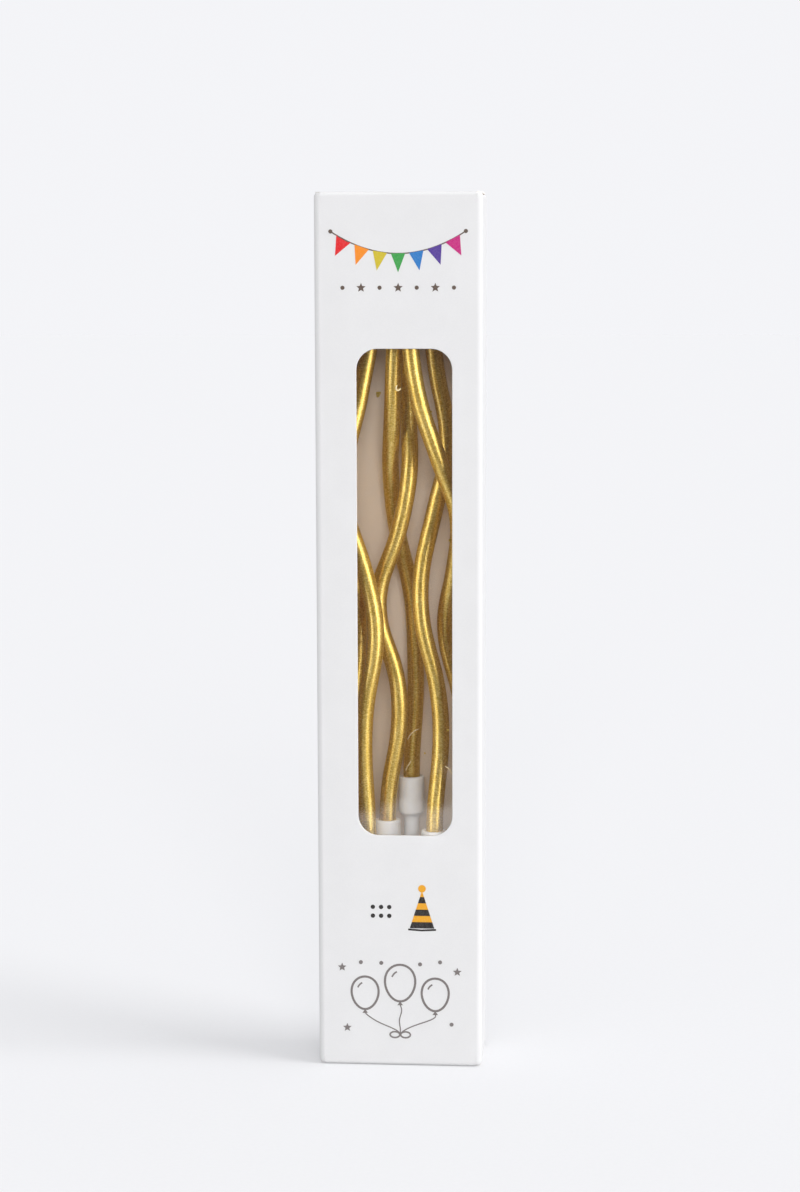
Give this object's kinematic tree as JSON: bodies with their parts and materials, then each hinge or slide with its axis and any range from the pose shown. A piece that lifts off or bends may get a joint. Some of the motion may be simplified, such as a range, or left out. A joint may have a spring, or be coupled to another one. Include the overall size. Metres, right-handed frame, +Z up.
{
  "type": "boxed set of spiral birthday candles",
  "caption": "Upright white card carton with a film window, tuck closures at both ends, and gold spiral birthday candles standing in push-in cake holders inside.",
  "frame": {"origin": "middle of the carton's base, on the surface it stands on", "axes": "+X to the right, -Y out of the window face, +Z up the carton"},
  "size_m": [0.04, 0.02, 0.2121],
  "materials": {
    "card": "matt coated folding board",
    "glue": "dried adhesive",
    "film": "clear film",
    "gold_wax": "metallic gold coat on wax",
    "wick": "braided cotton",
    "holder": "milky moulded plastic"
  },
  "bodies": {
    "carton": {"front_panel": "card", "back_panel": "card", "left_panel": "card", "right_panel": "card", "glue_flap": "card", "seam_glue": "glue", "window_glue": "glue", "window_film": "film"},
    "top_lid": {"top_lid": "card"},
    "top_tuck": {"top_tuck": "card"},
    "top_dust_left": {"top_dust_left": "card"},
    "top_dust_right": {"top_dust_right": "card"},
    "bottom_lid": {"bottom_lid": "card"},
    "bottom_tuck": {"bottom_tuck": "card"},
    "bottom_dust_left": {"bottom_dust_left": "card"},
    "bottom_dust_right": {"bottom_dust_right": "card"},
    "holder_1": {"holder_1": "holder"},
    "candle_1": {"wax_1": "gold_wax", "wick_1": "wick"},
    "holder_2": {"holder_2": "holder"},
    "candle_2": {"wax_2": "gold_wax", "wick_2": "wick"},
    "holder_3": {"holder_3": "holder"},
    "candle_3": {"wax_3": "gold_wax", "wick_3": "wick"},
    "holder_4": {"holder_4": "holder"},
    "candle_4": {"wax_4": "gold_wax", "wick_4": "wick"},
    "holder_5": {"holder_5": "holder"},
    "candle_5": {"wax_5": "gold_wax", "wick_5": "wick"},
    "holder_6": {"holder_6": "holder"},
    "candle_6": {"wax_6": "gold_wax", "wick_6": "wick"}
  },
  "joints": [
    {"name": "top_lid_hinge", "type": "hinge", "parent": "carton", "child": "top_lid", "pos_m": [0, -0.01, 0.21165], "axis": [1, 0, 0], "range_deg": [0, 180]},
    {"name": "top_tuck_fold", "type": "hinge", "parent": "top_lid", "child": "top_tuck", "pos_m": [0, 0.0078, 0.21165], "axis": [-1, 0, 0], "range_deg": [0, 81]},
    {"name": "top_dust_left_hinge", "type": "hinge", "parent": "carton", "child": "top_dust_left", "pos_m": [-0.02, 0, 0.2112], "axis": [0, -1, 0], "range_deg": [0, 90]},
    {"name": "top_dust_right_hinge", "type": "hinge", "parent": "carton", "child": "top_dust_right", "pos_m": [0.02, 0, 0.2112], "axis": [0, 1, 0], "range_deg": [0, 90]},
    {"name": "bottom_lid_hinge", "type": "hinge", "parent": "carton", "child": "bottom_lid", "pos_m": [0, -0.01, 0.00045], "axis": [-1, 0, 0], "range_deg": [0, 180]},
    {"name": "bottom_tuck_fold", "type": "hinge", "parent": "bottom_lid", "child": "bottom_tuck", "pos_m": [0, 0.0078, 0.00045], "axis": [1, 0, 0], "range_deg": [0, 81]},
    {"name": "bottom_dust_left_hinge", "type": "hinge", "parent": "carton", "child": "bottom_dust_left", "pos_m": [-0.02, 0, 0.0009], "axis": [0, 1, 0], "range_deg": [0, 90]},
    {"name": "bottom_dust_right_hinge", "type": "hinge", "parent": "carton", "child": "bottom_dust_right", "pos_m": [0.02, 0, 0.0009], "axis": [0, -1, 0], "range_deg": [0, 90]},
    {"name": "holder_1_lift", "type": "slide", "parent": "carton", "child": "holder_1", "axis": [0, 0, 1], "range_m": [0, 0.008]},
    {"name": "candle_1_pull", "type": "slide", "parent": "holder_1", "child": "candle_1", "axis": [0, 0, 1], "range_m": [0, 0.008]},
    {"name": "holder_2_lift", "type": "slide", "parent": "carton", "child": "holder_2", "axis": [0, 0, 1], "range_m": [0, 0.008]},
    {"name": "candle_2_pull", "type": "slide", "parent": "holder_2", "child": "candle_2", "axis": [0, 0, 1], "range_m": [0, 0.008]},
    {"name": "holder_3_lift", "type": "slide", "parent": "carton", "child": "holder_3", "axis": [0, 0, 1], "range_m": [0, 0.008]},
    {"name": "candle_3_pull", "type": "slide", "parent": "holder_3", "child": "candle_3", "axis": [0, 0, 1], "range_m": [0, 0.008]},
    {"name": "holder_4_lift", "type": "slide", "parent": "carton", "child": "holder_4", "axis": [0, 0, 1], "range_m": [0, 0.008]},
    {"name": "candle_4_pull", "type": "slide", "parent": "holder_4", "child": "candle_4", "axis": [0, 0, 1], "range_m": [0, 0.008]},
    {"name": "holder_5_lift", "type": "slide", "parent": "carton", "child": "holder_5", "axis": [0, 0, 1], "range_m": [0, 0.008]},
    {"name": "candle_5_pull", "type": "slide", "parent": "holder_5", "child": "candle_5", "axis": [0, 0, 1], "range_m": [0, 0.008]},
    {"name": "holder_6_lift", "type": "slide", "parent": "carton", "child": "holder_6", "axis": [0, 0, 1], "range_m": [0, 0.008]},
    {"name": "candle_6_pull", "type": "slide", "parent": "holder_6", "child": "candle_6", "axis": [0, 0, 1], "range_m": [0, 0.008]}
  ],
  "couplings": [
    {"joint": "top_tuck_fold", "follows": "top_lid_hinge", "ratio": 0.45},
    {"joint": "top_dust_left_hinge", "follows": "top_lid_hinge", "ratio": 0.5},
    {"joint": "top_dust_right_hinge", "follows": "top_lid_hinge", "ratio": 0.5},
    {"joint": "bottom_tuck_fold", "follows": "bottom_lid_hinge", "ratio": 0.45},
    {"joint": "bottom_dust_left_hinge", "follows": "bottom_lid_hinge", "ratio": 0.5},
    {"joint": "bottom_dust_right_hinge", "follows": "bottom_lid_hinge", "ratio": 0.5}
  ]
}
